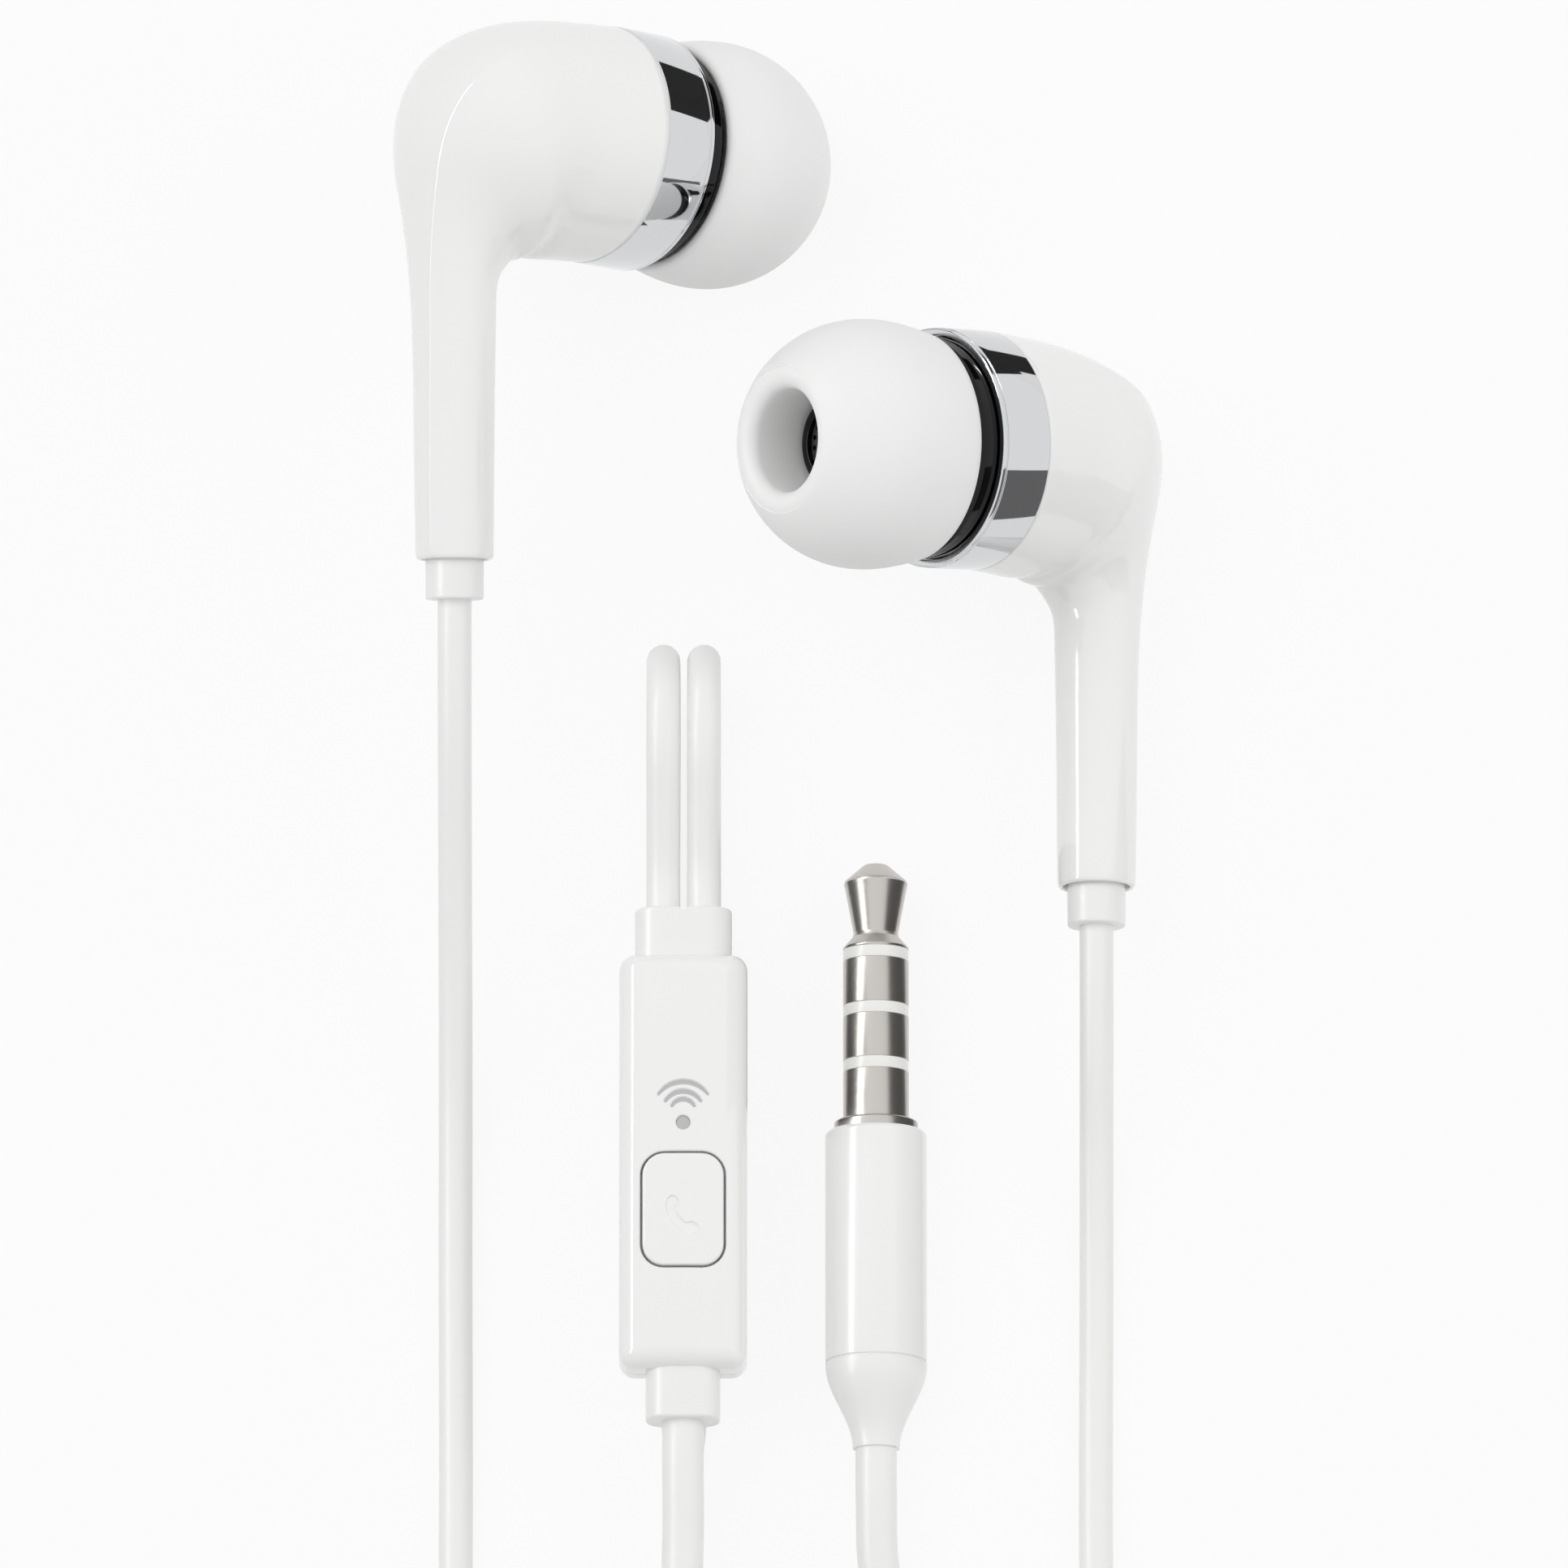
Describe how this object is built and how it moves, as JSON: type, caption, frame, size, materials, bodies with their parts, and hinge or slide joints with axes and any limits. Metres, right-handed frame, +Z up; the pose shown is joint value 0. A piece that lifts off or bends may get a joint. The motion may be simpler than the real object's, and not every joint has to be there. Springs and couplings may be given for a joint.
{
  "type": "wired earphones",
  "caption": "In-ear earphones with stems, pull-off silicone tips, an in-line microphone remote with a call button, a coiled main cord and a jack plug.",
  "frame": {"origin": "centre of the base of the box round both earbuds and the remote, on the table they lie on", "axes": "+X to the right bud's side, +Y from the remote towards the left bud, +Z up from the table"},
  "size_m": [0.0424, 0.1361, 0.0221],
  "materials": {
    "housing_white": "moulded ABS, high gloss",
    "trim_chrome": "polished chrome plate",
    "front_black": "moulded ABS, gloss black",
    "screen_steel": "fine screen",
    "driver_frame": "moulded, plain",
    "driver_steel": "zinc plated",
    "magnet": "nickel plated",
    "copper_wire": "wound enamelled wire",
    "film": "thin pressed film",
    "soft_white": "moulded elastomer, satin",
    "silicone": "translucent silicone, matte",
    "circuit_board": "solder mask",
    "switch_steel": "stamped can",
    "microphone_can": "drawn can",
    "gasket_grey": "moulded",
    "contact_nickel": "satin nickel plate, turned",
    "insulator_white": "moulded",
    "grip_white": "moulded, satin",
    "cord_white": "extruded elastomer, satin"
  },
  "bodies": {
    "root": {"left_rear_housing": "housing_white", "left_trim_ring": "trim_chrome", "left_front_housing": "front_black", "left_nozzle_mesh": "screen_steel", "left_driver_frame": "driver_frame", "left_yoke": "driver_steel", "left_magnet": "magnet", "left_pole_piece": "driver_steel", "left_voice_coil": "copper_wire", "left_diaphragm": "film", "left_stem_collar": "soft_white", "right_rear_housing": "housing_white", "right_trim_ring": "trim_chrome", "right_front_housing": "front_black", "right_nozzle_mesh": "screen_steel", "right_driver_frame": "driver_frame", "right_yoke": "driver_steel", "right_magnet": "magnet", "right_pole_piece": "driver_steel", "right_voice_coil": "copper_wire", "right_diaphragm": "film", "right_stem_collar": "soft_white", "remote_back_shell": "housing_white", "remote_front_shell": "housing_white", "remote_circuit_board": "circuit_board", "remote_switch": "switch_steel", "remote_microphone": "microphone_can", "remote_mic_gasket": "gasket_grey", "remote_top_grommet": "soft_white", "remote_bottom_grommet": "soft_white", "plug_tip": "contact_nickel", "plug_ring_upper": "contact_nickel", "plug_ring_lower": "contact_nickel", "plug_sleeve": "contact_nickel", "plug_insulators": "insulator_white", "plug_grip": "grip_white", "plug_strain_relief": "soft_white", "left_branch_cord": "cord_white", "left_branch_coil": "cord_white", "left_branch_to_remote": "cord_white", "right_branch_cord": "cord_white", "right_branch_coil": "cord_white", "right_branch_to_remote": "cord_white", "main_cord_from_remote": "cord_white", "main_cord_coil": "cord_white", "main_cord_to_plug": "cord_white"},
    "left_ear_tip": {"left_ear_tip": "silicone"},
    "right_ear_tip": {"right_ear_tip": "silicone"},
    "button": {"button_cap": "housing_white"}
  },
  "joints": [
    {"name": "left_tip_pull", "type": "slide", "parent": "root", "child": "left_ear_tip", "axis": [0.7736, 0.0144, -0.6335], "range_m": [0, 0.0047]},
    {"name": "right_tip_pull", "type": "slide", "parent": "root", "child": "right_ear_tip", "axis": [-0.7897, -0.1064, 0.6042], "range_m": [0, 0.0047]},
    {"name": "button_press", "type": "slide", "parent": "root", "child": "button", "axis": [0, 0, -1], "range_m": [0, 0.00025], "stiffness_N_per_m": 800, "springref_m": -0.0002}
  ]
}
